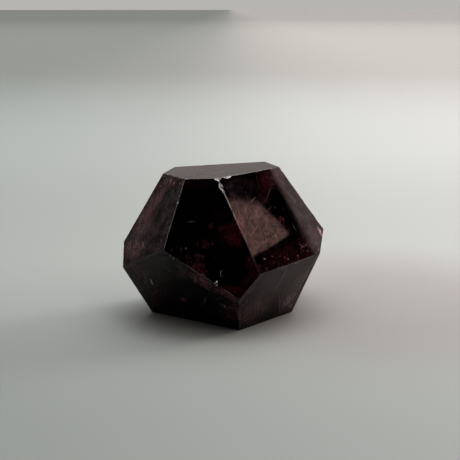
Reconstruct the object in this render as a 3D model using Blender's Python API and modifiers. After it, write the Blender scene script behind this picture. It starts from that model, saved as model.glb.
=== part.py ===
"""Garnet crystal: one polished, dark wine-red stone with twelve flat facets.

The stone is one solid. It stands on its base facet, with its front towards -Y.
Units are metres and +Z is up. The origin is on the ground under the middle of the
stone's box. The stone is a block from which one slice is cut for each facet; its edges
are then softened, and small conchoidal chips are taken out where the edges are worn.
"""
import math

import bmesh
import bpy
from mathutils import Matrix, Vector

MM = 0.001

# The facets, each a plane around the heart of the stone:
#   azimuth   the way it faces, in degrees from the front (-Y) towards the right (+X)
#   tilt      its lean, in degrees: 0 faces straight up, 90 is upright, 180 faces down
#   distance  from the heart of the stone to the plane, in millimetres
FACETS = {
    "base": (180.0, 180.0, 15.75),
    "top": (-105.0, 1.5, 15.05),
    "front": (-2.5, 71.5, 14.6),
    "front_left": (-57.5, 66.5, 17.05),
    "front_right": (42.5, 60.0, 13.3),
    "lower_left": (-31.5, 117.5, 15.85),
    "lower_right": (45.5, 112.5, 16.55),
    "right_shoulder": (110.5, 57.5, 17.8),
    "left_shoulder": (-103.5, 59.5, 17.65),
    "back": (-167.5, 77.0, 10.5),
    "left_flank": (-113.5, 109.5, 18.3),
    "right_flank": (97.5, 110.5, 18.7),
}

ROUGH_BLOCK = 60.0      # side of the uncut block, mm
EDGE_SOFTENING = 0.15   # width taken off each facet along an edge, mm
EDGE_STEPS = 3

# Chips along the edges. An edge is named by its two facets and runs between the two end
# facets; "along" is how far down it the chip sits. Sizes are in millimetres: the chip's
# length along the edge, its breadth across it and how deep it bites.
CHIPS = {
    "corner": ("top", "front_right", "front", "right_shoulder", 0.0, 1.5, 1.3, 0.45),
    "brow": ("top", "front_right", "front", "right_shoulder", 0.15, 2.2, 1.0, 0.30),
    "ridge": ("front", "front_right", "top", "lower_right", 0.085, 1.6, 1.0, 0.32),
    "ridge_nick": ("front", "front_right", "top", "lower_right", 0.14, 0.7, 0.7, 0.22),
    "brow_nick": ("top", "front_right", "front", "right_shoulder", 0.62, 0.8, 0.8, 0.25),
    "left_notch": ("front", "front_left", "top", "lower_left", 0.28, 0.7, 0.8, 0.26),
    "shoulder_nick": ("front_right", "right_shoulder", "top", "right_flank", 0.28, 1.2, 0.9, 0.28),
    "flank_nick": ("lower_right", "right_flank", "front_right", "base", 0.58, 0.9, 0.8, 0.24),
    "keel_nick": ("lower_left", "lower_right", "front", "base", 0.86, 0.8, 0.8, 0.24),
    "back_brow": ("top", "back", "left_shoulder", "right_shoulder", 0.30, 2.0, 1.1, 0.32),
    "back_ridge": ("back", "left_shoulder", "top", "left_flank", 0.66, 1.4, 1.0, 0.30),
    "back_heel": ("back", "right_flank", "right_shoulder", "base", 0.81, 1.8, 1.1, 0.32),
}
CHIP_TURN = 37.0        # how far each chip is turned about its own axis, degrees

WINE_RED = (0.055, 0.004, 0.008, 1.0)
POLISHED = 0.08


def facet_normal(name):
    """The unit vector that a facet faces along."""
    azimuth, tilt, _ = FACETS[name]
    azimuth = math.radians(azimuth)
    tilt = math.radians(tilt)
    level = math.sin(tilt)
    return Vector((math.sin(azimuth) * level, -math.cos(azimuth) * level, math.cos(tilt)))


def facet_point(name):
    """The foot of the line from the heart of the stone to a facet."""
    return facet_normal(name) * FACETS[name][2] * MM


def corner(*names):
    """The point where three facets meet."""
    normals = Matrix([facet_normal(name) for name in names])
    distances = Vector([FACETS[name][2] * MM for name in names])
    return normals.inverted() @ distances


def cut_stone():
    """The block with one slice taken off for each facet, centred on its heart."""
    mesh = bmesh.new()
    bmesh.ops.create_cube(mesh, size=ROUGH_BLOCK * MM)
    for name in FACETS:
        cut = bmesh.ops.bisect_plane(
            mesh,
            geom=mesh.verts[:] + mesh.edges[:] + mesh.faces[:],
            plane_co=facet_point(name),
            plane_no=facet_normal(name),
            clear_outer=True,
        )
        rim = [item for item in cut["geom_cut"] if isinstance(item, bmesh.types.BMEdge)]
        bmesh.ops.edgeloop_fill(mesh, edges=rim)
    bmesh.ops.recalc_face_normals(mesh, faces=mesh.faces[:])
    return mesh


def ground_offset(mesh):
    """The move that sets the stone on the ground, with the origin under its middle."""
    low = Vector([min(vert.co[axis] for vert in mesh.verts) for axis in range(3)])
    high = Vector([max(vert.co[axis] for vert in mesh.verts) for axis in range(3)])
    middle = (low + high) / 2
    return Vector((-middle.x, -middle.y, -low.z))


def new_object(name, mesh, collection, location):
    """A named object in a collection, made from a bmesh."""
    data = bpy.data.meshes.new(name)
    mesh.to_mesh(data)
    mesh.free()
    piece = bpy.data.objects.new(name, data)
    piece.location = location
    collection.objects.link(piece)
    return piece


def new_collection(name):
    collection = bpy.data.collections.new(name)
    bpy.context.scene.collection.children.link(collection)
    return collection


def chip_frame(chip, index):
    """Where a chip's cutter sits, which way it is turned and how large it is."""
    side_a, side_b, start, end, along, length, breadth, depth = chip
    first = corner(side_a, side_b, start)
    last = corner(side_a, side_b, end)
    run = (last - first).normalized()
    outward = (facet_normal(side_a) + facet_normal(side_b)).normalized()
    across = outward.cross(run)
    axes = Matrix((run, across, outward)).transposed().to_4x4()
    place = first.lerp(last, along) + outward * (breadth / 2 - depth) * MM
    turn = Matrix.Rotation(math.radians(CHIP_TURN * index), 4, "Z")
    stretch = Matrix.Diagonal((length / 2 * MM, breadth / 2 * MM, breadth / 2 * MM, 1.0))
    return Matrix.Translation(place) @ axes @ stretch @ turn


def add_chips(stone, collection, location):
    """Bites each chip out of the stone with a small faceted ball."""
    for index, (name, chip) in enumerate(CHIPS.items()):
        ball = bmesh.new()
        bmesh.ops.create_icosphere(
            ball, subdivisions=2, radius=1.0, matrix=chip_frame(chip, index)
        )
        cutter = new_object(f"chip_{name}", ball, collection, location)
        cutter.hide_render = True
        cutter.display_type = "WIRE"
        bite = stone.modifiers.new(f"chip_{name}", "BOOLEAN")
        bite.operation = "DIFFERENCE"
        bite.solver = "EXACT"
        bite.object = cutter


def soften_edges(stone):
    """Takes the sharpness off every edge between two facets."""
    bevel = stone.modifiers.new("edge_softening", "BEVEL")
    bevel.width = EDGE_SOFTENING * MM
    bevel.segments = EDGE_STEPS
    bevel.limit_method = "NONE"


def garnet_material():
    material = bpy.data.materials.new("garnet")
    material.use_nodes = True
    shader = material.node_tree.nodes["Principled BSDF"]
    shader.inputs["Base Color"].default_value = WINE_RED
    shader.inputs["Roughness"].default_value = POLISHED
    shader.inputs["Metallic"].default_value = 0.0
    return material


def clear_scene():
    for item in list(bpy.context.scene.objects):
        bpy.data.objects.remove(item, do_unlink=True)


def build():
    clear_scene()
    parts = new_collection("garnet_crystal")
    cutters = new_collection("cutters")
    mesh = cut_stone()
    location = ground_offset(mesh)
    stone = new_object("garnet_crystal", mesh, parts, location)
    stone.data.materials.append(garnet_material())
    soften_edges(stone)
    add_chips(stone, cutters, location)


build()
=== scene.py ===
"""Looks of a polished garnet crystal, standing on a plain pale floor in soft studio light.

The stone is the solid of the frame, with its edges worn and chipped. It is see-through
garnet, so dark that light reaches only a few millimetres in. Just under its polish lie
veils, flecks and needles, as in any natural garnet. Lengths are in metres unless a
comment says millimetres, and angles are in degrees.
"""
import collections
import math
import random

import bmesh
import bpy
from mathutils import Matrix, Vector, noise


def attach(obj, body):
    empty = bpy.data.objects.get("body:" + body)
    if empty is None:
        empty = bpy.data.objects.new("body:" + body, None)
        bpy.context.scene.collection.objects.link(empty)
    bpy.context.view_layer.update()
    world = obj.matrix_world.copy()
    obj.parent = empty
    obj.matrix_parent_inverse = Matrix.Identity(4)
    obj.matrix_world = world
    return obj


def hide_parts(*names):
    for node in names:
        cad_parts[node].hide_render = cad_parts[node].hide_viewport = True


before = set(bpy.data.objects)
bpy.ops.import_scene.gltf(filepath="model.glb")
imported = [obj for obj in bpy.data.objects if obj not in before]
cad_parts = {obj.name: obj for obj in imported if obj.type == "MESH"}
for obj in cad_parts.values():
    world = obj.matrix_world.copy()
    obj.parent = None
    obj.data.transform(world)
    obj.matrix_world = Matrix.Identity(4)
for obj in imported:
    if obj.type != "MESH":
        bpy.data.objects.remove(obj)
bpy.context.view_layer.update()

MM = 0.001
UP = Vector((0.0, 0.0, 1.0))

CAMERA_AT = Vector((1.32, -185.54, 63.43)) * MM
CAMERA_PITCH = 13.8         # below level
LENS = 70.43                # millimetres, for a sensor 36 wide

# The way each facet faces: azimuth from the front (-Y) towards +X, and tilt from straight up.
FACET_WAYS = {
    "base": (180, 180),
    "top": (-105, 1.5),
    "front": (-2.5, 71.5),
    "front_left": (-57.5, 66.5),
    "front_right": (42.5, 60),
    "lower_left": (-31.5, 117.5),
    "lower_right": (45.5, 112.5),
    "right_shoulder": (110.5, 57.5),
    "left_shoulder": (-103.5, 59.5),
    "back": (-167.5, 77),
    "left_flank": (-113.5, 109.5),
    "right_flank": (97.5, 110.5),
}
SAME_WAY = 0.9999           # cosine within which a face belongs to a facet
BEVEL_LEAN = 0.80           # and within which the edge of a bevel meets it smoothly
CREASE = 0.60               # a face that turns more than this cosine away keeps its own shading
ON_FACET = 2e-6             # how near a facet's plane a point on it lies
SAME_POINT = 1e-6           # points nearer than this are one

Facet = collections.namedtuple("Facet", "middle normal across upward")


# ---- small helpers


def direction(azimuth, elevation):
    """The unit vector at an azimuth from the front (-Y) towards +X, and above level."""
    a = math.radians(azimuth)
    e = math.radians(elevation)
    return Vector((math.sin(a) * math.cos(e), -math.cos(a) * math.cos(e), math.sin(e)))


def axes_along(x, y, z):
    """The turn that lays the three axes along three directions."""
    return Matrix((x, y, z)).transposed().to_4x4()


def new_object(name, data):
    piece = bpy.data.objects.new(name, data)
    bpy.context.scene.collection.objects.link(piece)
    return piece


def mesh_from(shape, name):
    mesh = bpy.data.meshes.new(name)
    shape.to_mesh(mesh)
    shape.free()
    return mesh


def piece_from(shape, name, material=None):
    piece = new_object(name, mesh_from(shape, name))
    if material:
        piece.data.materials.append(material)
    return piece


def plain_mesh(piece):
    """What a piece and its modifiers make, as a mesh of its own."""
    bpy.context.view_layer.update()
    graph = bpy.context.evaluated_depsgraph_get()
    made = piece.evaluated_get(graph)
    return bpy.data.meshes.new_from_object(made, preserve_all_data_layers=True, depsgraph=graph)


def settle(piece):
    """Turns what a piece's modifiers make into its plain mesh, and removes them."""
    mesh = plain_mesh(piece)
    piece.modifiers.clear()
    piece.data = mesh


def add_part_of_stone(piece):
    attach(piece, "root")


# ---- node helpers


def tree_of(values):
    """The tree that holds the sockets among some values."""
    return next(value.id_data for value in values if isinstance(value, bpy.types.NodeSocket))


def feed(socket, value):
    """Links a socket to another one, or gives it a plain value: a color without its alpha."""
    if isinstance(value, bpy.types.NodeSocket):
        socket.id_data.links.new(value, socket)
    elif socket.type == "RGBA":
        socket.default_value = (*value, 1.0)
    else:
        socket.default_value = value


def fill(node, **values):
    """Feeds a node's inputs; an input's name has _ for each space."""
    for name, value in values.items():
        feed(node.inputs[name.replace("_", " ")], value)


def add_node(kind, settings=None, tree=None, **values):
    """A node with its settings made and its inputs fed, in the given tree or the one that feeds it."""
    node = (tree or tree_of(values.values())).nodes.new(kind)
    for name, value in (settings or {}).items():
        setattr(node, name, value)
    fill(node, **values)
    return node


def math_node(operation, first, second=0.0):
    node = add_node("ShaderNodeMath", {"operation": operation}, tree_of((first, second)))
    feed(node.inputs[0], first)
    feed(node.inputs[1], second)
    return node.outputs[0]


def chain(operation, values):
    result = values[0]
    for value in values[1:]:
        result = math_node(operation, result, value)
    return result


def plus(*terms):
    return chain("ADD", terms)


def times(*factors):
    return chain("MULTIPLY", factors)


def vector_math(operation, first, second):
    node = add_node("ShaderNodeVectorMath", {"operation": operation}, tree_of((first, second)))
    feed(node.inputs[0], first)
    feed(node.inputs["Scale" if operation == "SCALE" else 1], second)
    return node.outputs["Value" if operation in ("DOT_PRODUCT", "DISTANCE") else "Vector"]


def ramp(value, low, high, start=0.0, end=1.0):
    """Runs smoothly from start to end as value goes from low to high."""
    return add_node(
        "ShaderNodeMapRange", {"interpolation_type": "SMOOTHSTEP"},
        Value=value, From_Min=low, From_Max=high, To_Min=start, To_Max=end,
    ).outputs["Result"]


def mix_color(factor, first, second):
    node = add_node("ShaderNodeMix", {"data_type": "RGBA"}, Factor=factor, A=first, B=second)
    return node.outputs["Result"]


def source(tree, kind, label):
    """An output of a node that nothing feeds."""
    return tree.nodes.new(kind).outputs[label]


def millimetres(tree, kind="ShaderNodeTexCoord", label="Object"):
    """The place on the piece, in millimetres."""
    return vector_math("SCALE", source(tree, kind, label), 1.0 / MM)


def streaky(place, factor):
    """The place, drawn out along STREAK_WAY: noise read there runs in streaks that way."""
    way = Vector(STREAK_WAY).normalized()
    along = vector_math("DOT_PRODUCT", place, way)
    pull = vector_math("SCALE", way, times(along, factor - 1.0))
    return vector_math("ADD", place, pull)


def cloudy(place, scale, detail=3.0, roughness=0.5, distortion=0.0):
    """Soft noise from 0 to 1, with scale lumps to the millimetre."""
    return add_node(
        "ShaderNodeTexNoise",
        Vector=place, Scale=scale, Detail=detail, Roughness=roughness, Distortion=distortion,
    ).outputs["Fac"]


def hairs(place, scale, width, distortion):
    """Thin wandering lines: 1 on a line, 0 beside it."""
    height = cloudy(place, scale, 1.0, 0.5, distortion)
    away = math_node("ABSOLUTE", math_node("SUBTRACT", height, 0.5))
    return ramp(away, 0.0, width, 1.0, 0.0)


def bump(height, distance):
    return add_node("ShaderNodeBump", Distance=distance, Height=height).outputs["Normal"]


def mark(tree, name):
    """A number that the piece's own mesh carries."""
    return add_node("ShaderNodeAttribute", {"attribute_name": name}, tree).outputs["Fac"]


def new_material(name):
    """A material, its tree and its shader."""
    material = bpy.data.materials.new(name)
    material.use_nodes = True
    tree = material.node_tree
    return material, tree, tree.nodes["Principled BSDF"]


# ---- camera and floor


def add_camera():
    data = bpy.data.cameras.new("camera")
    data.lens = LENS
    data.clip_start = 0.01
    data.clip_end = 100.0
    camera = new_object("camera", data)
    camera.location = CAMERA_AT
    camera.rotation_euler = (math.radians(90.0 - CAMERA_PITCH), 0.0, 0.0)
    bpy.context.scene.camera = camera


# The floor's color, with painted light falloff: darker towards the front, lighter behind the stone, and
# dimmer far from it. From the front backwards, and from the stone outwards, each step begins and ends at a
# distance and leads to a color.
FLOOR_FRONT_SHADE = (0.455, 0.472, 0.462)
FLOOR_LIGHT_BACKWARDS = ((-0.075, 0.050, (0.66, 0.67, 0.66)), (0.080, 0.240, (0.72, 0.735, 0.725)))
FLOOR_FALLOFF_OUTWARDS = ((0.28, 0.80, (0.56, 0.55, 0.53)), (1.4, 6.0, (0.42, 0.415, 0.40)))

# Its painted light: tinted from side to side, painted darker at the left and lighter at the right, with a
# painted shadow at the left of the stone and a painted shadow spot at its right.
FLOOR_SIDE = 0.25
FLOOR_LEFT_SHADE = (0.64, 0.685, 0.675)
FLOOR_RIGHT_LIGHT = (1.08, 1.05, 1.04)
NEAR_SIDE = 0.06
NEAR_LEFT_SHADOW = 0.86
SHADOW_SPOT_AT = (0.036, 0.006, 0.0)
SHADOW_SPOT_RADII = (0.015, 0.055)
SHADOW_SPOT_COLOR = (0.88, 0.82, 0.82)
WHITE = (1.0, 1.0, 1.0)
FLOOR_SIZE = 60.0


def floor_material():
    material, tree, shader = new_material("floor")
    place = source(tree, "ShaderNodeTexCoord", "Object")
    backwards = vector_math("DOT_PRODUCT", place, (0.0, 1.0, 0.0))
    rightwards = vector_math("DOT_PRODUCT", place, (1.0, 0.0, 0.0))
    outwards = vector_math("DISTANCE", place, (0.0, 0.0, 0.0))
    # Painted light falloff: darker towards the front, lighter behind the stone, dimmer far away.
    tone = FLOOR_FRONT_SHADE
    for way, steps in ((backwards, FLOOR_LIGHT_BACKWARDS), (outwards, FLOOR_FALLOFF_OUTWARDS)):
        for low, high, color in steps:
            tone = mix_color(ramp(way, low, high), tone, color)
    # Painted side light, and painted shadows beside the stone.
    side = mix_color(ramp(rightwards, -FLOOR_SIDE, FLOOR_SIDE), FLOOR_LEFT_SHADE, FLOOR_RIGHT_LIGHT)
    lit = vector_math("MULTIPLY", tone, side)
    lit = vector_math("SCALE", lit, ramp(rightwards, -NEAR_SIDE, NEAR_SIDE, NEAR_LEFT_SHADOW, 1.0))
    away = vector_math("DISTANCE", place, SHADOW_SPOT_AT)
    painted_shadow_spot = mix_color(ramp(away, *SHADOW_SPOT_RADII), SHADOW_SPOT_COLOR, WHITE)
    fill(shader, Base_Color=vector_math("MULTIPLY", lit, painted_shadow_spot), Roughness=0.9, Specular_IOR_Level=0.2)
    return material


def add_floor():
    shape = bmesh.new()
    bmesh.ops.create_grid(shape, x_segments=1, y_segments=1, size=FLOOR_SIZE)
    floor = piece_from(shape, "floor", floor_material())


# ---- light


# Soft round patches of the studio: azimuth, elevation, how far from there each is full and
# where it ends, and its color.
STUDIO = (0.50, 0.485, 0.475)
OVERHEAD = (160, 62, 15, 60, (1.16, 1.16, 1.16))
BACKDROP = (180, 9, 9, 20, (0.398, 0.372, 0.355))
DRAPES = (-118, 10, 10, 25)
DARK_FRONT = (0, 15, 24, 60, (0.04, 0.04, 0.04))
PANE = (94.06, 28.88, 9, 14, (0.006, 0.006, 0.007))
LAMPS = (
    (155, 66, 19, 30, (2.9, 2.9, 2.88)),
    (119, 22, 7, 13, (10.0, 9.8, 9.6)),
    (50, 43.5, 5, 9, (3.6, 3.3, 3.2)),
)
FAR_COLOR = (0.52, 0.51, 0.49)

# A window and a piece of wall in the dark pane. A soft line bounds each side: the way it
# faces (from across, anticlockwise), how far it lies from the pane's middle, and how soft it is.
PANE_ENDS = (9, 10)
WINDOW_SIDES = ((0, -0.62, 0.3), (103, -1.50, 0.2), (-41.3, -1.27, 0.6), (51.5, -1.56, 0.3))
WALL_SIDE = (196.6, 1.85, 0.5)

# How fine the drapes and the view through the window are, and their dark and light colors.
FOLDS = 260.0
DRAPE_COLORS = ((0.15, 0.135, 0.132), (0.37, 0.325, 0.32))
WALL_COLORS = ((0.92, 0.74, 0.72), (1.36, 1.14, 1.10))
LEAVES = 280.0
OUTDOOR_COLORS = ((0.74, 0.53, 0.46), (1.86, 1.21, 1.12))


def lobe(ray, azimuth, elevation, inner, outer):
    """1 within inner degrees of a direction, fading to 0 at outer degrees."""
    cosine = vector_math("DOT_PRODUCT", ray, direction(azimuth, elevation))
    return ramp(cosine, math.cos(math.radians(outer)), math.cos(math.radians(inner)))


def patch(ray, tone, place):
    """The tone with one of the studio's soft patches laid over it."""
    return mix_color(lobe(ray, *place[:4]), tone, place[4])


def half_plane(across, upward, angle, offset, softness):
    """1 on the side of a line that faces angle, 0 on the other."""
    a = math.radians(angle)
    along = plus(times(across, math.cos(a)), times(upward, math.sin(a)))
    return ramp(along, offset - softness / 2, offset + softness / 2)


def place_on_pane(ray):
    """How far across and above the pane's middle a ray passes."""
    facing = direction(*PANE[:2])
    level = facing.cross(UP).normalized()
    ahead = vector_math("DOT_PRODUCT", ray, facing)
    place = []
    for way in (level, level.cross(facing)):
        aside = vector_math("DOT_PRODUCT", ray, way)
        place.append(times(math_node("DIVIDE", aside, ahead), math.degrees(1.0)))
    return place


def pane(ray, tone, folds):
    """The tone with the dark pane over it, and the wall and the window in the pane."""
    tone = patch(ray, tone, PANE)
    x, y = place_on_pane(ray)
    near = lobe(ray, *PANE[:2], *PANE_ENDS)
    wall = times(near, half_plane(x, y, *WALL_SIDE))
    tone = mix_color(wall, tone, mix_color(folds, *WALL_COLORS))
    window = times(near, *[half_plane(x, y, *side) for side in WINDOW_SIDES])
    leaves = ramp(cloudy(ray, LEAVES, 4.0, 0.7, 0.5), 0.40, 0.60)
    return mix_color(window, tone, mix_color(leaves, *OUTDOOR_COLORS))


def add_world():
    """A soft studio: pale above and behind, dark towards the front, with a window at the right."""
    world = bpy.data.worlds.new("studio")
    bpy.context.scene.world = world
    world.use_nodes = True
    tree = world.node_tree
    ray = source(tree, "ShaderNodeTexCoord", "Generated")
    tall = vector_math("MULTIPLY", ray, (1.0, 1.0, 0.2))
    folds = ramp(cloudy(tall, FOLDS, 3.0, 0.6), 0.34, 0.66)
    tone = patch(ray, STUDIO, OVERHEAD)
    tone = patch(ray, tone, BACKDROP)
    tone = patch(ray, tone, (*DRAPES, mix_color(folds, *DRAPE_COLORS)))
    tone = patch(ray, tone, DARK_FRONT)
    tone = pane(ray, tone, folds)
    for lamp in LAMPS:
        tone = patch(ray, tone, lamp)
    seen = source(tree, "ShaderNodeLightPath", "Is Camera Ray")
    fill(tree.nodes["Background"], Color=mix_color(seen, tone, FAR_COLOR))
    world.cycles.sampling_method = "MANUAL"
    world.cycles.sample_map_resolution = 2048


TOE = 0.12                  # how strongly the darkest tones are pressed towards black
TOE_LEVELS = (0.005, 0.01, 0.02, 0.04, 0.07, 0.11, 0.17, 0.25, 0.4, 0.6, 0.8)


def set_view():
    """Photographic contrast: deep shadows, untouched highlights."""
    view = bpy.context.scene.view_settings
    view.view_transform = "Standard"
    view.use_curve_mapping = True
    tones = view.curve_mapping.curves[3]
    tones.points[-1].location = (1.0, 1.0)
    for level in TOE_LEVELS:
        tones.points.new(level, (1 + TOE) * level * level / (level + TOE))
    view.curve_mapping.update()


# ---- materials

DEEP_WINE = (0.74, 0.05, 0.25)
DEPTH_OF_COLOR = 1100.0     # absorption, to the metre
GARNET_IOR = 1.75
STREAK_WAY = (0.32, 0.22, 0.92)
SCATTER = (0.93, 0.74, 0.76)
BROAD_SCATTER = (0.95, 0.66, 0.66)
# Whitish color of the rubbed edges: partly real wear, partly a painted highlight along them.
RUBBED_HIGHLIGHT_COLOR = (0.92, 0.88, 0.85)

# How much of the light the polish scatters: in all places, and by each kind of blemish.
EVEN_HAZE = 0.004
BROAD_HAZE = 0.016
FINE_HAZE = 0.022
STREAK_HAZE = 0.030
HAIR_HAZE = 0.12


def garnet_body(name):
    """See-through wine-red garnet, whose surface is still to be dressed."""
    material, tree, shader = new_material(name)
    volume = add_node("ShaderNodeVolumeAbsorption", None, tree, Color=DEEP_WINE, Density=DEPTH_OF_COLOR)
    fill(shader, IOR=GARNET_IOR)
    fill(tree.nodes["Material Output"], Volume=volume.outputs[0])
    return material, tree, shader


def polish_haze(tree, place, broad):
    """How hazy the polish is from place to place, and how dull the rubbed edges are: partly real wear,
    partly a painted highlight.
    """
    fine = ramp(cloudy(place, 2.4, 4.0, 0.65), 0.42, 0.72)
    streaks = ramp(cloudy(streaky(place, 0.16), 1.1, 3.0, 0.6), 0.40, 0.64)
    patchy = ramp(cloudy(place, 0.5, 2.0), 0.35, 0.6)
    hair = times(hairs(place, 0.75, 0.020, 1.6), patchy)
    haze = plus(
        times(broad, BROAD_HAZE),
        times(fine, FINE_HAZE),
        times(streaks, STREAK_HAZE),
        times(hair, HAIR_HAZE),
        EVEN_HAZE,
    )
    # Rubbed edges, dulled and whitened: partly real wear, partly a painted highlight.
    rubbed_highlight = ramp(cloudy(place, 1.6, 3.0, 0.6), 0.30, 0.65, 0.45, 1.0)
    return plus(times(haze, mark(tree, "haze")), times(rubbed_highlight, mark(tree, "wear_and_highlight")))


def polished_garnet():
    """Clean polish with faint haze, slight waves, hairline scratches, and rubbed edges whose whitish
    dullness is partly real wear and partly a painted highlight.
    """
    material, tree, shader = garnet_body("polished_garnet")
    place = millimetres(tree)
    broad = ramp(cloudy(place, 0.20, 4.0, 0.6, 0.6), 0.40, 0.68)
    tint = mix_color(broad, SCATTER, BROAD_SCATTER)
    # The rubbed edges' whitish color: partly real wear, partly a painted highlight.
    fill(
        shader,
        Transmission_Weight=math_node("SUBTRACT", 1.0, polish_haze(tree, place, broad)),
        Base_Color=mix_color(ramp(mark(tree, "wear_and_highlight"), 0.02, 0.12), tint, RUBBED_HIGHLIGHT_COLOR),
        Roughness=ramp(cloudy(place, 0.8, 3.0), 0.3, 0.7, 0.012, 0.036),
        Normal=bump(cloudy(place, 0.28, 0.0), 0.002 * MM),
    )
    return material


def broken_garnet():
    """Fresh chips: frosted with tiny cracks, so that they sparkle white."""
    material, tree, shader = garnet_body("broken_garnet")
    place = millimetres(tree)
    frost = ramp(cloudy(place, 1.7, 4.0, 0.75), 0.44, 0.52)
    fill(
        shader,
        Transmission_Weight=ramp(frost, 0.0, 1.0, 0.92, 0.05),
        Base_Color=mix_color(frost, (0.8, 0.5, 0.5), (0.95, 0.92, 0.9)),
        Roughness=ramp(frost, 0.0, 1.0, 0.18, 0.42),
        Normal=bump(cloudy(place, 5.0, 3.0), 0.08 * MM),
    )
    return material


def worn_garnet():
    """Small nicks worn dull along the edges."""
    material, tree, shader = garnet_body("worn_garnet")
    grain = cloudy(millimetres(tree), 4.0, 3.0, 0.6)
    fill(
        shader,
        Transmission_Weight=ramp(grain, 0.3, 0.7, 0.98, 0.86),
        Base_Color=mix_color(grain, (0.75, 0.45, 0.45), SCATTER),
        Roughness=ramp(grain, 0.3, 0.7, 0.12, 0.3),
        Normal=bump(grain, 0.03 * MM),
    )
    return material


def pale_mineral():
    """Flecks, needles and grains inside the stone."""
    material, tree, shader = new_material("pale_mineral")
    place = millimetres(tree)
    color = mix_color(cloudy(place, 3.0), (0.72, 0.62, 0.60), (0.95, 0.92, 0.90))
    fill(shader, Base_Color=color, Roughness=ramp(cloudy(place, 6.0), 0.3, 0.7, 0.35, 0.7))
    return material


def veil_silk():
    """A healed crack: a mottled film, thick in some places and gone in others."""
    material, tree, shader = new_material("veil_silk")
    place = millimetres(tree)
    blotches = ramp(cloudy(place, 0.55, 4.0, 0.6, 0.4), 0.34, 0.66, 0.38, 0.88)
    strands = ramp(cloudy(streaky(place, 0.18), 1.6, 3.0, 0.6), 0.38, 0.66, 0.58, 0.95)
    grains = ramp(cloudy(place, 3.2, 3.0, 0.7), 0.36, 0.62, 0.68, 1.0)
    film = times(mark(tree, "cover"), blotches, strands, grains)
    pink = mix_color(cloudy(place, 0.5, 2.0), (0.95, 0.82, 0.80), (0.92, 0.90, 0.92))
    color = mix_color(mark(tree, "tint"), pink, (0.52, 0.80, 0.90))
    fill(shader, Base_Color=color, Roughness=0.6, Alpha=math_node("MINIMUM", film, 1.0))
    return material


# ---- facets


def area_middle(face):
    """The middle of a flat face by its area."""
    first = face.verts[0].co
    total = 0.0
    middle = Vector()
    for second, third in zip(face.verts[1:-1], face.verts[2:]):
        area = (second.co - first).cross(third.co - first).dot(face.normal)
        total += area
        middle += area * (first + second.co + third.co) / 3
    return middle / total


def merged_solid():
    """The frame's solid with its loose triangles joined into whole facets."""
    shape = bmesh.new()
    shape.from_mesh(bpy.data.objects["garnet_crystal"].data)
    bmesh.ops.remove_doubles(shape, verts=shape.verts[:], dist=SAME_POINT)
    flat = math.radians(0.5)
    bmesh.ops.dissolve_limit(shape, angle_limit=flat, verts=shape.verts[:], edges=shape.edges[:])
    return shape


def read_facets():
    """Where each facet lies, read from the largest faces of the frame's solid."""
    shape = merged_solid()
    facets = {}
    for name, (azimuth, tilt) in FACET_WAYS.items():
        way = direction(azimuth, 90.0 - tilt)
        faces = [face for face in shape.faces if face.normal.dot(way) > SAME_WAY]
        face = max(faces, key=lambda item: item.calc_area())
        normal = face.normal.copy()
        across = UP.cross(normal)
        if across.length < 0.1:
            across = Vector((1.0, 0.0, 0.0)) - normal * normal.x
        across.normalize()
        facets[name] = Facet(area_middle(face), normal, across, normal.cross(across))
    shape.free()
    return facets


FACETS = read_facets()


def spot(name, across, upward, depth):
    """A place under a facet: millimetres across and up from its middle, and below its polish."""
    facet = FACETS[name]
    return facet.middle + (facet.across * across + facet.upward * upward - facet.normal * depth) * MM


def corner(*names):
    """The point where three facets would meet if the edges were sharp."""
    normals = Matrix([FACETS[name].normal for name in names])
    distances = Vector([FACETS[name].normal.dot(FACETS[name].middle) for name in names])
    return normals.inverted() @ distances


def sharp_stone():
    """The facets' own solid, with sharp edges, cut from a larger cube."""
    shape = bmesh.new()
    bmesh.ops.create_cube(shape, size=0.12)
    for facet in FACETS.values():
        whole = shape.verts[:] + shape.edges[:] + shape.faces[:]
        cut = bmesh.ops.bisect_plane(
            shape, geom=whole, plane_co=facet.middle, plane_no=facet.normal, clear_outer=True
        )
        rim = [item for item in cut["geom_cut"] if isinstance(item, bmesh.types.BMEdge)]
        bmesh.ops.edgeloop_fill(shape, edges=rim)
    bmesh.ops.recalc_face_normals(shape, faces=shape.faces[:])
    return shape


def rows(groups):
    """The rows of a table that is grouped by facet, each led by its facet's name."""
    return [(facet, *row) for facet, *group in groups for row in group]


# ---- geometry nodes


def geometry_tree(name, numbers):
    """A tree with a geometry in and out, an input for each number, and a material."""
    tree = bpy.data.node_groups.new(name, "GeometryNodeTree")
    tree.is_modifier = True
    tree.interface.new_socket("Geometry", in_out="OUTPUT", socket_type="NodeSocketGeometry")
    for label in ("Geometry", *numbers, "Material"):
        kind = "Int" if label == "Seed" else "Float" if label in numbers else label
        tree.interface.new_socket(label, in_out="INPUT", socket_type="NodeSocket" + kind)
    return tree, tree.nodes.new("NodeGroupInput").outputs


def random_number(low, high, given, shift):
    """A random number for each point, drawn anew for each shift of the seed."""
    node = add_node("FunctionNodeRandomValue", {"data_type": "FLOAT"}, given["Seed"].id_data)
    feed(node.inputs[2], low)
    feed(node.inputs[3], high)
    feed(node.inputs["Seed"], plus(given["Seed"], float(shift)))
    return node.outputs[1]


def size_between(given, *shares):
    """A size from the smallest towards the largest, by the product of some shares."""
    spread = math_node("SUBTRACT", given["Largest"], given["Smallest"])
    return plus(given["Smallest"], times(spread, *shares))


def combined(x, y, z):
    return add_node("ShaderNodeCombineXYZ", X=x, Y=y, Z=z).outputs[0]


def turn_by(*angles):
    return add_node("FunctionNodeEulerToRotation", Euler=combined(*angles)).outputs[0]


def pushed(geometry, way, distance):
    """The geometry, with each point moved its own distance its own way."""
    offset = vector_math("SCALE", way, distance)
    return add_node("GeometryNodeSetPosition", Geometry=geometry, Offset=offset).outputs[0]


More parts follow.
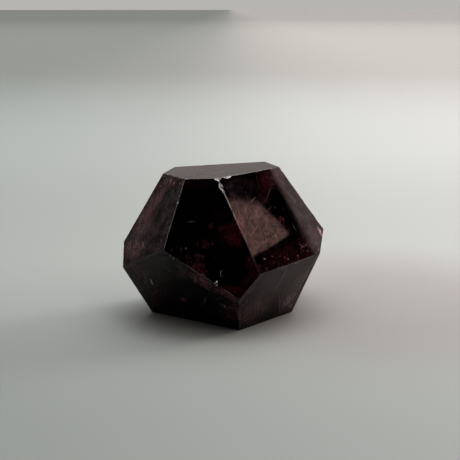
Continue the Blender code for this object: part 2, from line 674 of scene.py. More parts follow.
def balls(points, rounds, rotation, scale):
    tree = points.id_data
    ball = add_node("GeometryNodeMeshIcoSphere", None, tree, Radius=1.0, Subdivisions=rounds)
    return add_node(
        "GeometryNodeInstanceOnPoints",
        Points=points, Instance=ball.outputs[0], Rotation=rotation, Scale=scale,
    ).outputs[0]


def realized(instances):
    return add_node("GeometryNodeRealizeInstances", Geometry=instances).outputs[0]


def finish_tree(instances, given):
    """Ends a tree with Realize Instances and Set Material."""
    tree = instances.id_data
    real = realized(instances)
    dressed = add_node("GeometryNodeSetMaterial", Geometry=real, Material=given["Material"])
    fill(tree.nodes.new("NodeGroupOutput"), Geometry=dressed.outputs[0])
    return tree


def run_tree(piece, tree, material, values):
    """Runs a tree on a piece with the given inputs, and keeps the result as its plain mesh."""
    modifier = piece.modifiers.new(tree.name, "NODES")
    modifier.node_group = tree
    values = {**values, "Material": material}
    for item in tree.interface.items_tree:
        if item.in_out == "INPUT" and item.name in values:
            modifier[item.identifier] = values[item.name]
    settle(piece)


def fleck_tree():
    """Scatters small flat flecks under a surface, by its cover attribute and in clumps."""
    tree, given = geometry_tree("flecks", FLECKS)
    place = millimetres(tree, "GeometryNodeInputPosition", "Position")
    clumps = ramp(cloudy(place, given["Clump Scale"], 3.0, 0.6), 0.42, 0.62, 0.08, 1.0)
    cover = add_node("GeometryNodeInputNamedAttribute", {"data_type": "FLOAT"}, tree, Name="cover")
    points = add_node(
        "GeometryNodeDistributePointsOnFaces", {"distribute_method": "RANDOM"},
        Mesh=given["Geometry"], Seed=given["Seed"],
        Density=times(given["Density"], clumps, cover.outputs["Attribute"]),
    ).outputs
    depth = random_number(given["Shallowest"], given["Deepest"], given, 1)
    sunk = pushed(points["Points"], points["Normal"], times(depth, -1.0))
    lean = times(given["Tilt"], -1.0)
    turn = turn_by(
        random_number(lean, given["Tilt"], given, 2),
        random_number(lean, given["Tilt"], given, 3),
        random_number(0.0, math.tau, given, 4),
    )
    turned = add_node(
        "FunctionNodeRotateRotation", {"rotation_space": "LOCAL"},
        Rotation=points["Rotation"], Rotate_By=turn,
    )
    chance = random_number(0.0, 1.0, given, 5)
    size = size_between(given, times(chance, chance))
    longer = times(size, random_number(0.8, 1.8, given, 6))
    stretch = combined(longer, size, times(size, given["Flatness"]))
    return finish_tree(balls(sunk, 1, turned.outputs[0], stretch), given)


def nick_tree():
    """Strings small rough lumps along a solid's edges, to be cut out of them."""
    tree, given = geometry_tree("nicks", NICKS)
    kept = tree.nodes.new("GeometryNodeCaptureAttribute")
    kept.capture_items.new("VECTOR", "Outward")
    fill(kept, Geometry=given["Geometry"], Outward=source(tree, "GeometryNodeInputNormal", 0))
    lines = add_node("GeometryNodeMeshToCurve", Mesh=kept.outputs["Geometry"])
    points = add_node(
        "GeometryNodeCurveToPoints", {"mode": "LENGTH"}, Curve=lines.outputs[0], Length=given["Spacing"]
    ).outputs
    half = times(given["Spacing"], 0.45)
    slide = random_number(times(half, -1.0), half, given, 1)
    slid = pushed(points["Points"], points["Tangent"], slide)
    drop = math_node("GREATER_THAN", random_number(0.0, 1.0, given, 2), given["Share"])
    some = add_node("GeometryNodeDeleteGeometry", Geometry=slid, Selection=drop)
    chance = random_number(0.0, 1.0, given, 3)
    size = size_between(given, chance, chance, chance)
    lifted = pushed(some.outputs[0], kept.outputs["Outward"], times(size, given["Lift"]))
    turn = turn_by(*[random_number(0.0, math.tau, given, shift) for shift in (4, 5, 6)])
    lumps = realized(balls(lifted, 2, turn, size))
    place = millimetres(tree, "GeometryNodeInputPosition", "Position")
    wobble = cloudy(place, 2.6, 1.0).node.outputs["Color"]
    centred = vector_math("SUBTRACT", wobble, (0.5, 0.5, 0.5))
    return finish_tree(pushed(lumps, centred, given["Roughness"]), given)


# ---- the stone

# Chips on the edges, and two small sparks: the edge's two facets, the two end facets, how
# far along, then length, breadth and depth in millimetres.
CHIPS = {
    "corner": ("top", "front_right", "front", "right_shoulder", 0.0, 1.7, 1.5, 0.50),
    "brow": ("top", "front_right", "front", "right_shoulder", 0.15, 2.4, 1.2, 0.34),
    "ridge": ("front", "front_right", "top", "lower_right", 0.085, 1.8, 1.2, 0.36),
    "ridge_nick": ("front", "front_right", "top", "lower_right", 0.14, 0.8, 0.8, 0.25),
    "keel_spark": ("front", "lower_left", "front_left", "lower_right", 0.69, 0.85, 0.80, 0.28),
    "left_spark": ("front", "front_left", "top", "lower_left", 0.335, 0.60, 0.50, 0.16),
}

# How a chip's surface is broken: how fine and how high its lumps, ripples and grain are.
LUMPS = (2.2, 0.16)
RIPPLES = (26.0, 0.018)
GRAIN = (7.0, 0.09)
STRUCK_AT = Vector((0.5, 0.3, -0.8))

NICKS = {
    "Spacing": 2.6 * MM,
    "Share": 0.26,
    "Smallest": 0.10 * MM,
    "Largest": 0.30 * MM,
    "Lift": 0.30,
    "Roughness": 0.12 * MM,
    "Seed": 5,
}


def cut_out(stone, cutter):
    """Cuts a cutter out of the stone; the cut takes the cutter's material."""
    bite = stone.modifiers.new("bite", "BOOLEAN")
    bite.operation = "DIFFERENCE"
    bite.solver = "EXACT"
    bite.use_self = True
    bite.material_mode = "TRANSFER"
    bite.object = cutter
    settle(stone)
    bpy.data.objects.remove(cutter, do_unlink=True)


def chip_cutter(name, chip, seed, material):
    """A rippled shell-shaped lump that leaves a broken, conchoidal chip."""
    side_a, side_b, start, end, along, length, breadth, depth = chip
    first = corner(side_a, side_b, start)
    last = corner(side_a, side_b, end)
    run = (last - first).normalized()
    outward = (FACETS[side_a].normal + FACETS[side_b].normal).normalized()
    place = first.lerp(last, along) + outward * (breadth / 2 - depth) * MM
    stretch = Matrix.Diagonal((length / 2 * MM, breadth / 2 * MM, breadth / 2 * MM, 1.0))
    ball = bmesh.new()
    bmesh.ops.create_icosphere(ball, subdivisions=4, radius=1.0)
    shift = Vector((seed * 7.3, seed * 3.1, 0.0))
    for vert in ball.verts:
        lump = noise.noise(vert.co * LUMPS[0] + shift) * LUMPS[1]
        ripple = math.sin((vert.co - STRUCK_AT).length * RIPPLES[0]) * RIPPLES[1]
        grain = noise.noise(vert.co * GRAIN[0] + shift) * GRAIN[1]
        vert.co *= 1.0 + lump + ripple + grain
    ball.transform(Matrix.Translation(place) @ axes_along(run, outward.cross(run), outward) @ stretch)
    return piece_from(ball, f"{name}_cutter", material)


def facet_of(point, normal, least):
    """The facet that a point lies on and that a face there leans to most, or None."""
    best = None
    for facet in FACETS.values():
        lean = facet.normal.dot(normal)
        if lean > least and abs(facet.normal.dot(point - facet.middle)) < ON_FACET:
            best = facet
            least = lean
    return best


def shade(mesh):
    """Keeps the facets dead flat, and rolls the light smoothly round the edges between them."""
    sums = collections.defaultdict(Vector)
    flat = {}
    for face in mesh.polygons:
        face.use_smooth = True
        flat[face.index] = face.material_index == 0 and facet_of(face.center, face.normal, SAME_WAY)
        if flat[face.index]:
            continue
        for index in face.vertices:
            sums[index, face.material_index] += face.normal * face.area
    normals = [None] * len(mesh.loops)
    for face in mesh.polygons:
        for loop in face.loop_indices:
            index = mesh.loops[loop].vertex_index
            facet = flat[face.index]
            if not facet and face.material_index == 0:
                facet = facet_of(mesh.vertices[index].co, face.normal, BEVEL_LEAN)
            rounded = facet.normal if facet else sums[index, face.material_index].normalized()
            normals[loop] = rounded if rounded.dot(face.normal) > CREASE else face.normal
    mesh.normals_split_custom_set(normals)


# How hazy each facet's polish is.
FACET_HAZE = {
    "front": 0.25, "front_left": 1.3, "front_right": 0.35, "lower_left": 0.1, "lower_right": 0.5, "top": 1.8,
}
OTHER_HAZE = 0.7

# How far the edge between two facets is rubbed dull and white, at the upper and the lower of two heights:
# partly real wear, partly a painted highlight along the edge. Below 0 the rubbing has ended.
EDGE_WEAR_AND_HIGHLIGHT = {
    ("front", "front_right"): (0.70, -0.35),
    ("front", "front_left"): (0.26, 0.16),
    ("front", "lower_left"): (0.06, 0.08),
    ("front", "lower_right"): (0.05, 0.05),
    ("front_left", "lower_left"): (0.05, 0.05),
    ("front_left", "left_flank"): (0.10, 0.10),
    ("front_right", "lower_right"): (0.06, 0.06),
    ("lower_left", "lower_right"): (0.12, 0.12),
}
OTHER_WEAR_AND_HIGHLIGHT = (0.03, 0.03)
WEAR_AND_HIGHLIGHT_HEIGHTS = (8.0 * MM, 31.0 * MM)
RUBBED_DEPTH = 0.05 * MM    # deeper than this the rubbing has not reached


def mark_faces(mesh):
    """Writes each face's haze, and its wear with painted highlight, by the facet it lies on or the two it
    lies between.
    """
    haze = mesh.attributes.new("haze", "FLOAT", "FACE")
    wear_and_highlight = mesh.attributes.new("wear_and_highlight", "FLOAT", "CORNER")
    low, high = WEAR_AND_HIGHLIGHT_HEIGHTS
    for face in mesh.polygons:
        gaps = {name: abs(facet.normal.dot(face.center - facet.middle)) for name, facet in FACETS.items()}
        nearest = sorted(gaps, key=gaps.get)[:2]
        haze.data[face.index].value = FACET_HAZE.get(nearest[0], OTHER_HAZE)
        if not ON_FACET < gaps[nearest[0]] < RUBBED_DEPTH or face.material_index:
            continue
        pair = tuple(name for name in FACETS if name in nearest)
        upper, lower = EDGE_WEAR_AND_HIGHLIGHT.get(pair, OTHER_WEAR_AND_HIGHLIGHT)
        for loop in face.loop_indices:
            height = mesh.vertices[mesh.loops[loop].vertex_index].co.z
            share = min(max((height - low) / (high - low), 0.0), 1.0)
            wear_and_highlight.data[loop].value = max(lower + (upper - lower) * share, 0.0)


def add_stone(polished, broken, worn, nicks):
    stone = piece_from(merged_solid(), "garnet_stone", polished)
    guide = piece_from(sharp_stone(), "nick_cutter")
    run_tree(guide, nicks, worn, NICKS)
    cut_out(stone, guide)
    for seed, (name, chip) in enumerate(CHIPS.items()):
        cut_out(stone, chip_cutter(name, chip, seed, broken))
    shade(stone.data)
    mark_faces(stone.data)
    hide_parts("garnet_crystal")
    add_part_of_stone(stone)


# ---- veils

# Veils, by facet: middle across and up, depth, half width and half height (millimetres),
# turn, how thickly they cover, and how blue they are.
VEILS = (
    ("front", (4, 0.9, 0.8, 3.6, 2.9, 0, 0.62, 0.12), (5.7, 3.2, 1.2, 2, 2.2, 20, 0.3, 0),
     (-3.1, -5.3, 0.7, 2.4, 1.5, -34, 0.4, 0.1), (-1.5, -6.2, 0.7, 1.3, 1.9, 0, 0.35, 0.1),
     (4.9, -10.5, 0.7, 2.8, 1.5, -10, 0.6, 0), (8.2, -5.9, 0.6, 1.2, 3, 25, 0.5, 0),
     (7, -8.3, 0.7, 1, 2, -40, 0.4, 0), (-2.4, 10.6, 0.8, 4.2, 1, 0, 0.14, 0),
     (1.5, 3.9, 1, 1.6, 2.2, 0, 0.2, 0)),
    ("front_right", (-5.5, 8.1, 0.14, 5.4, 3.4, 0, 0.15, 0.6), (-8.7, 8.3, 0.1, 1.9, 3.2, 0, 0.2, 0.6),
     (2, 8.7, 0.45, 3.2, 2.8, 0, 0.5, 0.5), (-0.3, 6.3, 0.55, 2.2, 2.2, 10, 0.28, 0.3),
     (-1.4, 4.7, 0.4, 2.2, 1.2, 0, 0.22, 0.3), (-1.4, -8, 0.6, 9.4, 2.7, 2, 0.27, 0.25),
     (5.9, -6.5, 0.7, 2.2, 2.2, 0, 0.3, 0.2), (9.2, -5.6, 0.2, 1.6, 3.2, 14, 0.26, 0),
     (4.6, 7.6, 0.2, 1.5, 3.4, 18, 0.28, 0.5), (1.6, 0, 0.4, 1, 0.8, 0, 0.7, 0.2),
     (-4.3, 1.8, 0.1, 2.4, 2.2, 0, 0.2, 0), (11.1, -4.6, 0.06, 0.5, 1.3, 12, 2.6, 0)),
    ("front_left", (-3.8, -0.8, 0.15, 3.2, 9.8, -14, 0.5, 0.15),
     (-1.8, 2.6, 0.12, 2.6, 6, -14, 0.36, 0.1), (3.5, 4.3, 0.08, 1.6, 9, -14, 0.1, 1),
     (0.5, 8.5, 0.2, 3.4, 1.8, 0, 0.3, 0.1), (-3.4, -6.9, 0.12, 3.2, 3.6, 0, 0.5, 0.15)),
    ("lower_left", (2.5, 5.7, 0.4, 2.2, 2.4, 0, 0.35, 0.1), (6.1, 4.4, 0.22, 3, 2, -30, 1, 0.05),
     (9.6, 2.4, 0.2, 1.9, 1.2, -20, 0.5, 0.2), (-0.2, -2.3, 0.4, 1, 1.1, 0, 1.1, 0.1),
     (-1.6, -5.2, 0.25, 0.4, 1.7, -8, 0.4, 0.6), (10.7, -3.2, 0.3, 2.1, 3.2, 0, 0.3, 0.2),
     (12.6, -2.4, 0.3, 0.9, 4, 0, 0.6, 0), (11.2, 1.7, 0.25, 3.6, 1, -33, 0.6, 0)),
    ("lower_right", (-9.3, 3, 0.2, 1.2, 4, -30, 0.25, 0.1), (-4.9, -2.8, 0.16, 5, 4.4, 0, 0.5, 0.1),
     (-2.2, -0.7, 0.1, 7.5, 6.5, 0, 0.15, 0), (6, -3.5, 0.07, 3, 3.6, -14, 0.62, 0.05),
     (6.3, 0.6, 0.08, 2.6, 4, -20, 0.23, 0.05), (-3.5, 2.2, 0.08, 4.8, 3.4, 0, 0.1, 0.15),
     (-1.3, -2.8, 0.14, 1.2, 1.5, 0, 0.4, 0.4), (9.4, 5.5, 0.06, 0.6, 2.8, -20, 0.25, 0.2),
     (8.5, 2.1, 0.08, 0.8, 1.7, -20, 0.3, 0.1)),
    ("back", (-6.5, 3.5, 0.6, 7.5, 4, 30, 0.26, 0.1), (-3, 0, 0.8, 3.5, 5.5, -20, 0.24, 0),
     (8, -6, 0.7, 6.5, 3.5, -35, 0.26, 0.1), (5, -2.5, 0.9, 3, 4.5, 15, 0.2, 0),
     (2, 8, 0.8, 8, 2.5, 5, 0.16, 0.2)),
    ("right_shoulder", (0, 1, 0.5, 4, 6, 15, 0.4, 0.2)),
    ("left_shoulder", (0.5, -1, 0.6, 2.6, 6, -10, 0.4, 0)),
    ("left_flank", (-2, -1, 0.7, 5.5, 4, 20, 0.25, 0)),
    ("right_flank", (2, -1, 0.7, 6, 4.5, -20, 0.5, 0)),
)

# Small soft puffs, laid out as the veils are.
PUFFS = (
    ("front", (0, 2.3, 0.25, 0.7, 0.8, 0, 0.66, 0.3), (-1.2, -1.3, 0.22, 1.1, 1.1, 0, 1.21, 0.1),
     (-2.7, -1.3, 0.25, 0.6, 0.7, 0, 0.55, 0.2), (0.4, -1.3, 0.3, 0.6, 0.7, 0, 0.55, 0.2),
     (-2.5, -3.6, 0.15, 1.2, 0.5, -10, 0.99, 0.5), (-1.4, -3.9, 0.2, 0.6, 0.6, 0, 0.88, 0.2),
     (-2.5, -4.4, 0.25, 0.6, 0.6, 0, 1.1, 0.2), (-4.5, -3.9, 0.2, 0.6, 0.6, 0, 0.77, 0.6),
     (-6.1, -4, 0.2, 0.5, 0.4, 0, 0.55, 0.6), (-5.9, -2.4, 0.2, 0.45, 0.9, 0, 0.55, 0.6),
     (-6.7, -1.8, 0.2, 0.4, 0.8, 0, 0.44, 0.6), (-7.6, -2.6, 0.15, 0.6, 0.6, 0, 0.55, 0.6),
     (-4.6, -4.9, 0.2, 0.5, 0.5, 0, 0.55, 0.4), (-1.6, -7.4, 0.3, 1.1, 0.9, 0, 1.1, 0.1),
     (-3.2, -5.7, 0.3, 0.6, 0.9, 0, 0.77, 0.1), (-2.1, -5.3, 0.3, 0.7, 0.6, 0, 0.66, 0.1),
     (0.9, -3.9, 0.2, 0.35, 0.45, 0, 0.44, 0.6), (-4.1, 1.2, 0.1, 1.5, 1.9, 0, 0.05, 0.8),
     (-3.9, 3.1, 0.06, 1.3, 0.28, 2, 1.1, 0.8), (-3.1, 4, 0.08, 0.6, 0.22, 14, 0.66, 0.8),
     (2, 1.6, 0.3, 0.22, 0.8, -40, 0.88, 0.1), (2.2, -7.2, 0.08, 0.35, 0.75, 0, 0.5, 0.6)),
    ("front_right", (-8.7, -8.3, 0.3, 0.5, 0.6, 0, 0.6, 0.2), (-7, -9.3, 0.35, 0.5, 1, -20, 0.5, 0.2),
     (-1.3, -8, 0.4, 0.6, 0.5, 0, 0.8, 0.2), (-9.1, -9.7, 0.4, 1, 1.4, 0, 0.5, 0.2),
     (2.2, -8.7, 0.3, 0.5, 0.7, 0, 0.5, 0.3), (-5.2, -8.6, 0.35, 0.8, 0.5, 0, 0.5, 0.2),
     (3.9, -7.7, 0.4, 0.8, 0.6, 0, 0.5, 0.2)),
    ("lower_right", (-9.8, -0.6, 0.1, 0.45, 0.8, 0, 0.96, 0.1),
     (-6.7, -4.8, 0.12, 0.45, 0.9, -20, 1.08, 0.3), (-4.5, 0.5, 0.1, 1, 1.2, 0, 0.3, 0.4),
     (-3.9, -2.2, 0.1, 0.4, 1.5, -15, 0.96, 0.3)),
    ("lower_left", (5.5, -0.9, 0.1, 0.3, 0.8, -30, 1.19, 0.6), (4, -2.7, 0.12, 0.45, 0.5, 0, 0.85, 0.6),
     (9.8, -1.6, 0.12, 0.7, 0.6, -20, 1.02, 0.5), (10, -4.1, 0.12, 0.45, 0.9, 0, 1.02, 0.5),
     (8.3, -3.4, 0.15, 0.5, 0.9, 0, 0.68, 0.5), (-4.6, -1.5, 0.12, 0.6, 0.3, -20, 0.85, 0.7),
     (-8.2, -2, 0.12, 0.4, 0.5, 0, 0.85, 0.6), (4.9, 4.1, 0.15, 0.7, 0.7, 0, 1.19, 0.1),
     (7, 3.2, 0.12, 0.8, 0.5, -30, 1.36, 0.1), (8.3, 3.8, 0.12, 0.5, 0.5, 0, 1.02, 0.4),
     (6.2, 6, 0.15, 0.6, 0.5, -30, 0.85, 0.2)),
    ("front_left", (-5.5, -7.9, 0.08, 0.4, 2.2, 0, 0.54, 0.2), (-0.6, -5.2, 0.08, 0.3, 1, 20, 1.8, 0),
     (1.4, 9.3, 0.06, 0.3, 0.6, 10, 2.16, 0.2), (2.9, 8.8, 0.06, 0.35, 0.5, 10, 1.8, 0.3),
     (4.1, 9.9, 0.06, 0.3, 0.5, 0, 0.9, 0.3), (5.5, -2.8, 0.1, 0.35, 0.35, 0, 1.26, 0.1)),
)
VEIL_STEPS = 24
PUFF_STEPS = 10
RIM_WANDER = 0.50           # how unevenly a veil ends
VEIL_RIM = 0.60             # over how much of its radius it fades
PUFF_RIM = 0.95
VEIL_MARGIN = 0.04 * MM     # how far it stays inside the stone
VEIL_THICKNESS = 0.02 * MM
SHALLOWEST = 0.06           # how near the polish it may come, in millimetres
VEIL_WAVES = 0.70           # how far it wanders out of its plane, to its depth


def veil_patch(shape, cover_layer, tint_layer, veil, seed, steps, softness):
    """One thin wavy film under a facet, fading out at an uneven rim."""
    facet, across, upward, depth, half_width, half_height, turn, cover, tint = veil
    cosine = math.cos(math.radians(turn))
    sine = math.sin(math.radians(turn))
    lines = []
    for line in range(steps + 1):
        v = 2.0 * line / steps - 1.0
        verts = []
        for column in range(steps + 1):
            u = 2.0 * column / steps - 1.0
            x = across + u * half_width * cosine - v * half_height * sine
            y = upward + u * half_width * sine + v * half_height * cosine
            wave = noise.noise(Vector((x * 0.4, y * 0.4, seed * 5.7)))
            sink = max(depth * (1.0 + VEIL_WAVES * wave), SHALLOWEST)
            vert = shape.verts.new(spot(facet, x, y, sink))
            wander = noise.noise(Vector((u * 1.6, v * 1.6, seed * 3.3 + 9.0)))
            rim = math.hypot(u, v) + RIM_WANDER * wander
            vert[cover_layer] = cover * min(max((1.0 - rim) / softness, 0.0), 1.0)
            vert[tint_layer] = tint
            verts.append(vert)
        lines.append(verts)
    for low, high in zip(lines, lines[1:]):
        for i in range(steps):
            shape.faces.new((low[i], low[i + 1], high[i + 1], high[i]))


def clearance(point):
    """How far inside the sharp-edged stone a point lies."""
    return min(facet.normal.dot(facet.middle - point) for facet in FACETS.values())


def veil_sheet(sets, seed, margin):
    """The bare films of some veils as one mesh, kept margin inside the stone."""
    shape = bmesh.new()
    cover_layer = shape.verts.layers.float.new("cover")
    tint_layer = shape.verts.layers.float.new("tint")
    for groups, steps, softness in sets:
        for number, veil in enumerate(rows(groups)):
            veil_patch(shape, cover_layer, tint_layer, veil, seed + number, steps, softness)
    outside = [
        face for face in shape.faces
        if max(vert[cover_layer] for vert in face.verts) == 0.0
        or min(clearance(vert.co) for vert in face.verts) < margin
    ]
    bmesh.ops.delete(shape, geom=outside, context="FACES")
    return shape


def add_veils(silk):
    sets = ((VEILS, VEIL_STEPS, VEIL_RIM), (PUFFS, PUFF_STEPS, PUFF_RIM))
    veils = piece_from(veil_sheet(sets, 0, VEIL_MARGIN), "healed_veils", silk)
    thick = veils.modifiers.new("thickness", "SOLIDIFY")
    thick.thickness = VEIL_THICKNESS
    settle(veils)
    add_part_of_stone(veils)


# ---- flecks

# Clusters of flecks, laid out as the veils are.
FLECK_BEDS = (
    ("front", (-1.3, -1.2, 0.5, 1.1, 1.1, 0, 1, 0), (-4.8, -3.1, 0.5, 3.4, 1.6, -30, 0.35, 0),
     (-2.6, -5.7, 0.7, 3, 1.4, -34, 0.5, 0), (3.6, 0.5, 0.8, 2.9, 2.4, 0, 0.25, 0)),
    ("front_right", (1.9, 8.4, 0.5, 2.4, 2.6, 0, 0.4, 0), (1.3, -0.3, 0.5, 1.6, 1.2, -30, 0.6, 0),
     (4.5, -6.3, 0.4, 3.4, 1.6, -10, 0.5, 0), (-2, -8.5, 0.5, 8.6, 1.6, 0, 0.45, 0),
     (-3.4, 6.3, 0.4, 2.4, 1.4, 0, 0.4, 0)),
    ("lower_left", (7.7, 2.9, 0.4, 6.2, 1.6, -36, 0.5, 0), (10.9, -3.1, 0.5, 2.6, 3.4, 0, 0.35, 0),
     (-7.7, -1.8, 0.4, 2.4, 4.4, 20, 0.2, 0)),
    ("lower_right", (-5.5, -3.4, 0.5, 4.6, 4.2, 10, 0.4, 0)),
    ("front_left", (2.1, 8.7, 0.3, 3.6, 1.6, 0, 0.4, 0), (-2.9, -1.9, 0.4, 3, 7, -10, 0.2, 0)),
    ("back", (3, 4, 0.5, 5, 4, 0, 0.4, 0)),
    ("left_flank", (2, 0, 0.5, 5, 4, 0, 0.4, 0)),
    ("right_flank", (-2, 0, 0.5, 5, 4, 0, 0.4, 0)),
)
BED_SEED = 40
BED_MARGIN = 0.05 * MM

# How thick the dust of flecks under each facet is.
DUST_COVER = {"front": 0.05, "front_left": 0.15, "top": 0.5}
OTHER_COVER = 0.25

# How the flecks lie in the beds, and as dust.
FLECKS = {
    "Density": (9.0 / MM ** 2, 0.9 / MM ** 2),
    "Clump Scale": (0.9, 0.35),
    "Shallowest": (-0.25 * MM, 0.2 * MM),
    "Deepest": (0.25 * MM, 1.6 * MM),
    "Smallest": (0.03 * MM, 0.025 * MM),
    "Largest": (0.16 * MM, 0.12 * MM),
    "Flatness": (0.35, 0.4),
    "Tilt": (1.0, 1.0),
    "Seed": (11, 23),
}


def dusty_stone():
    """The sharp-edged stone, with how thickly dust lies under each face."""
    shape = sharp_stone()
    cover_layer = shape.faces.layers.float.new("cover")
    for face in shape.faces:
        name = max(FACETS, key=lambda item: FACETS[item].normal.dot(face.normal))
        face[cover_layer] = DUST_COVER.get(name, OTHER_COVER)
    return shape


def add_flecks(mineral, flecks):
    """Beds of flecks in the veined places, and a thin dust of them everywhere."""
    sheet = veil_sheet(((FLECK_BEDS, VEIL_STEPS, VEIL_RIM),), BED_SEED, BED_MARGIN)
    for column, (name, shape) in enumerate((("fleck_beds", sheet), ("fleck_dust", dusty_stone()))):
        piece = piece_from(shape, name)
        run_tree(piece, flecks, mineral, {label: pair[column] for label, pair in FLECKS.items()})
        add_part_of_stone(piece)


# ---- needles and grains

# Needles and cracks seen as fine lines, by facet: thickness, depth, then the across and up of
# each point passed through, all in millimetres.
NEEDLES = (
    ("front_right", (0.07, 0.1, -8.9, 3.8, -9, 2.3), (0.07, 0.1, -6.5, 4.2, -7.5, 2.7, -7.3, 1.2),
     (0.07, 0.1, -5.5, 2.4, -7.4, 0.6), (0.08, 0.1, -4.3, 2.9, -4.6, 1.2),
     (0.07, 0.2, -2.5, 1.5, -4.6, -0.1, -7.1, -1.6), (0.07, 0.1, -2, 0.1, -4.2, -1.5),
     (0.07, 0.1, -2.1, -1.9, -1.5, -3.7), (0.07, 0.1, -8.3, -1.6, -7.9, -3.4),
     (0.07, 0.1, -7.6, -4.9, -5.4, -4), (0.07, 0.1, -5.3, -0.9, -4, -2.4)),
    ("lower_right", (0.05, 0, 2.8, 0.3, 2.7, -1.2, 2.3, -2.7, 3.5, -5.7),
     (0.1, 0.1, 6.1, -4.2, 7.3, -5.2, 7.3, -6, 6.2, -5, 6.1, -4.2),
     (0.05, 0, 8.3, 5.8, 8.3, 2.2, 7.7, -1)),
    ("lower_left", (0.1, 0.15, 5.3, 0.1, 5.7, -0.9, 5, -2.5), (0.1, 0.15, 8, -0.4, 9.3, 0.7, 10.4, 0.4),
     (0.05, 0.03, 6.6, -2.9, 7.2, -3.9, 6.2, -5.9), (0.1, 0.15, 9, -5.2, 10.4, -3.5, 10.9, -5.3),
     (0.1, 0.15, 4.5, 6, 5.4, 5.1, 4.7, 3.6), (0.1, 0.15, 7.4, 4.7, 8.3, 3.8, 9.5, 3.6),
     (0.09, 0.15, -8.7, 5, -7.9, 2.9, -9.1, 0.4), (0.08, 0.15, -3.2, 7.7, -2.4, 5.7, -1, 5.4)),
    ("front", (0.16, 0.14, -5.2, 2.9, -4.4, 3.2, -2.8, 3.2), (0.1, 0.14, -3.7, 3.8, -3.3, 3.9, -2.8, 4.1),
     (0.16, 0.5, 1.6, 1.3, 2.1, 1.7, 2.6, 2.2), (0.06, 0, 2.1, -7.8, 1.9, -7, 2.2, -6.3, 2.5, -6.7),
     (0.05, 0, 2.6, -7.2, 2.4, -7.8)),
    ("front_right", (0.04, 0, 1.7, 6.6, 0.2, 5.3, -1.4, 3.8),
     (0.09, 0.3, -0.2, 10.2, -1.1, 9.3, -0.8, 8.1, -1.6, 6.7), (0.06, 0, -5, 4.5, -4.2, 5, -3.2, 5.5),
     (0.07, 0.3, -2.3, 7.2, -2.2, 6.1, -2.2, 4.9), (0.05, 0, 3.9, -1.6, 4.1, -2.5, 4.4, -3.5),
     (0.03, 0, -1.7, 2, -0.5, 2.7, 0.8, 3), (0.07, 0.3, -2.9, 3.3, -2.1, 2.7, -1.6, 1.8),
     (0.05, 0, 6, 5.1, 6.6, 3.9, 7.4, 2.8), (0.07, 0.3, -1.3, 4.4, -0.4, 3.8, -0.2, 2.8),
     (0.07, 0, 3.7, -5.7, 3.9, -6.3, 4.5, -6.8), (0.06, 0, 4.9, -6.3, 5.7, -6.2, 6.2, -7.1),
     (0.06, 0, 3.5, -7, 4.5, -6.9, 5.8, -6.6), (0.06, 0.15, -8.5, 2.2, -7.4, 2.7, -6.8, 3.7),
     (0.06, 0.15, -9.9, 1.4, -9.1, 0.9, -9.1, -0.2), (0.06, 0.15, -4.5, -2.3, -4.1, -3.2, -4.9, -4.2),
     (0.06, 0.15, -7.7, -3, -6.9, -3.8, -7.1, -4.8)),
    ("front_left", (0.18, 0.06, -1.8, -4.5, -0.8, -5, 0.8, -5.8), (0.1, 0, 1.2, 9.5, 1.5, 8.9, 1.6, 8.5),
     (0.12, 0.12, 2.5, 9.2, 2.7, 8.6, 2.3, 7.7), (0.09, 0.15, 1.1, 8.6, 1.2, 7.5, 0.5, 6.3),
     (0.08, 0.2, 0.7, 7, 0.2, 5, 0.2, 3.4), (0.07, 0.15, 3.6, 8.8, 3.5, 7.3, 3.5, 6)),
    ("lower_left", (0.4, 0.06, -7, 2.2, -7, 1.4, -6.9, 0.6),
     (0.12, 0.15, 5.4, 3.4, 6.3, 2.9, 7.2, 2.3, 8.2, 1.9), (0.1, 0.1, 11.2, 3.2, 12.1, 2.5, 12.9, 1.8),
     (0.06, 0, 4.1, -2.6, 5.3, -1.2, 6.3, 0.2), (0.06, 0, 9, -1.1, 9.8, -1.2, 10.2, -2.1),
     (0.09, 0.25, 8.7, -3.6, 8.8, -5, 8.2, -6.3), (0.05, 0, 10.5, -2.5, 11.6, -1.2, 12.2, -1.6)),
    ("lower_right", (0.07, 0, 0.7, 6.5, 0.4, 4.7, -0.2, 2.7, -0.7, 0.7),
     (0.08, 0.2, 1.5, -1, 2.5, -3.3, 4, -6.4),
     (0.12, 0.3, -4.8, -0.5, -4.3, -1.9, -4.5, -3.7, -4.7, -5.2),
     (0.1, 0.3, -3, -2.8, -1.9, -4.5, -1.7, -5.8), (0.1, 0.3, -1.9, -0.6, -2.2, -1.5),
     (0.1, 0.25, -8.9, 0.7, -8.7, -0.7), (0.09, 0.25, -7.8, -5, -7.4, -3.8)),
    ("back", (0.1, 0.3, -10, 6, -7, 5, -4.5, 3, -3.5, 0.5), (0.09, 0.3, 4, -2, 6.5, -3.2, 9, -6)),
    ("left_flank", (0.1, 0.3, -5, 2, -2.5, 0.5, 0, -2.5)),
    ("right_flank", (0.1, 0.3, 4, 5, 2.5, 1.5, 3, -2.5)),
    ("right_shoulder", (0.09, 0.3, -2, 6, -0.5, 3, -1, 0)),
    ("left_shoulder", (0.09, 0.3, 1, 5, 0, 1.5, 0.8, -2)),
)


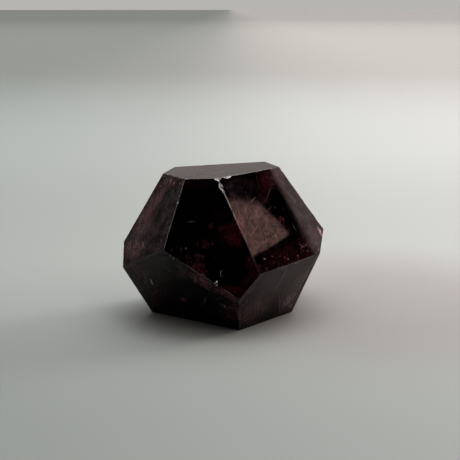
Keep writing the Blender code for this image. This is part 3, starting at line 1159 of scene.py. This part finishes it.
def needle_lines():
    """All the fine lines, tapered and of uneven thickness."""
    lines = bpy.data.curves.new("needles", "CURVE")
    lines.dimensions = "3D"
    lines.bevel_depth = 1.0
    lines.bevel_resolution = 1
    lines.use_fill_caps = True
    lines.resolution_u = 6
    rng = random.Random(7)
    for facet, thickness, depth, *numbers in rows(NEEDLES):
        path = list(zip(numbers[::2], numbers[1::2]))
        spline = lines.splines.new("NURBS")
        spline.points.add(len(path) - 1)
        spline.use_endpoint_u = True
        spline.order_u = min(3, len(path))
        for index, (point, (across, upward)) in enumerate(zip(spline.points, path)):
            sunk = depth * rng.uniform(0.85, 1.25)
            point.co = (*spot(facet, across, upward, sunk), 1.0)
            end = index in (0, len(path) - 1)
            point.radius = thickness / 2 * MM * (0.35 if end else rng.uniform(0.8, 1.2))
    return lines


def add_needles(mineral):
    """The fine lines as slender tubes."""
    guide = new_object("needle_guide", needle_lines())
    shape = bmesh.new()
    shape.from_mesh(plain_mesh(guide))
    bpy.data.objects.remove(guide, do_unlink=True)
    bmesh.ops.remove_doubles(shape, verts=shape.verts[:], dist=SAME_POINT)
    add_part_of_stone(piece_from(shape, "needles", mineral))


# Single grains, by facet: across, up, depth and size in millimetres, and how much longer than
# wide they are.
GRAINS = (
    ("front", (-4.9, -2.2, 0.12, 0.2, 1.3), (1.3, -9.4, 0, 0.1, 1.4), (1.3, -8.7, 0, 0.2, 1.2),
     (-4.7, 10.9, 0.3, 0.14, 1.2)),
    ("front_right", (-6.7, -7.3, 0.22, 0.24, 1.7), (-4.6, -7.2, 0.04, 0.14, 1.2),
     (-0.6, -8.5, 0.2, 0.24, 1.1), (2.3, -8.3, 0.2, 0.18, 1.4), (1, 2.5, 0.2, 0.12, 1.4),
     (5.5, -7.9, 0.2, 0.14, 1.3), (11.1, -4.5, 0.02, 0.2, 1.5), (4.3, -7.6, 0.2, 0.12, 1),
     (-1.7, 2.1, 0.2, 0.1, 1)),
    ("front_left", (-1.8, 7.4, 0.2, 0.12, 1.4), (-2.5, 1.6, 0.2, 0.1, 2)),
    ("lower_left", (-2, -7.4, 0, 0.1, 1.4)),
    ("lower_right", (7.1, 1.1, 0.15, 0.14, 1.5), (3, 6.8, 0.1, 0.12, 2)),
)
THINNEST = 0.03             # of a grain, in millimetres


def add_grains(mineral):
    """Rounded, slightly lumpy grains of another mineral."""
    shape = bmesh.new()
    for number, (name, across, upward, depth, size, length) in enumerate(rows(GRAINS)):
        made = bmesh.ops.create_icosphere(shape, subdivisions=2, radius=1.0)
        turn = Matrix.Rotation(number * 1.9, 4, "Z")
        facet = FACETS[name]
        axes = axes_along(facet.across, facet.upward, facet.normal)
        thick = max(min(size * 0.6, depth * 0.8), THINNEST)
        stretch = Matrix.Diagonal((size * MM, size * length * MM, thick * MM, 1.0))
        place = Matrix.Translation(spot(name, across, upward, depth))
        for vert in made["verts"]:
            vert.co *= 1.0 + 0.25 * noise.noise(vert.co * 1.7 + Vector((number, 0.0, 0.0)))
            vert.co = place @ axes @ turn @ stretch @ vert.co
    add_part_of_stone(piece_from(shape, "mineral_grains", mineral))


# ---- all of it

add_camera()
add_floor()
add_world()
set_view()

mineral = pale_mineral()
add_stone(polished_garnet(), broken_garnet(), worn_garnet(), nick_tree())
add_veils(veil_silk())
add_flecks(mineral, fleck_tree())
add_needles(mineral)
add_grains(mineral)
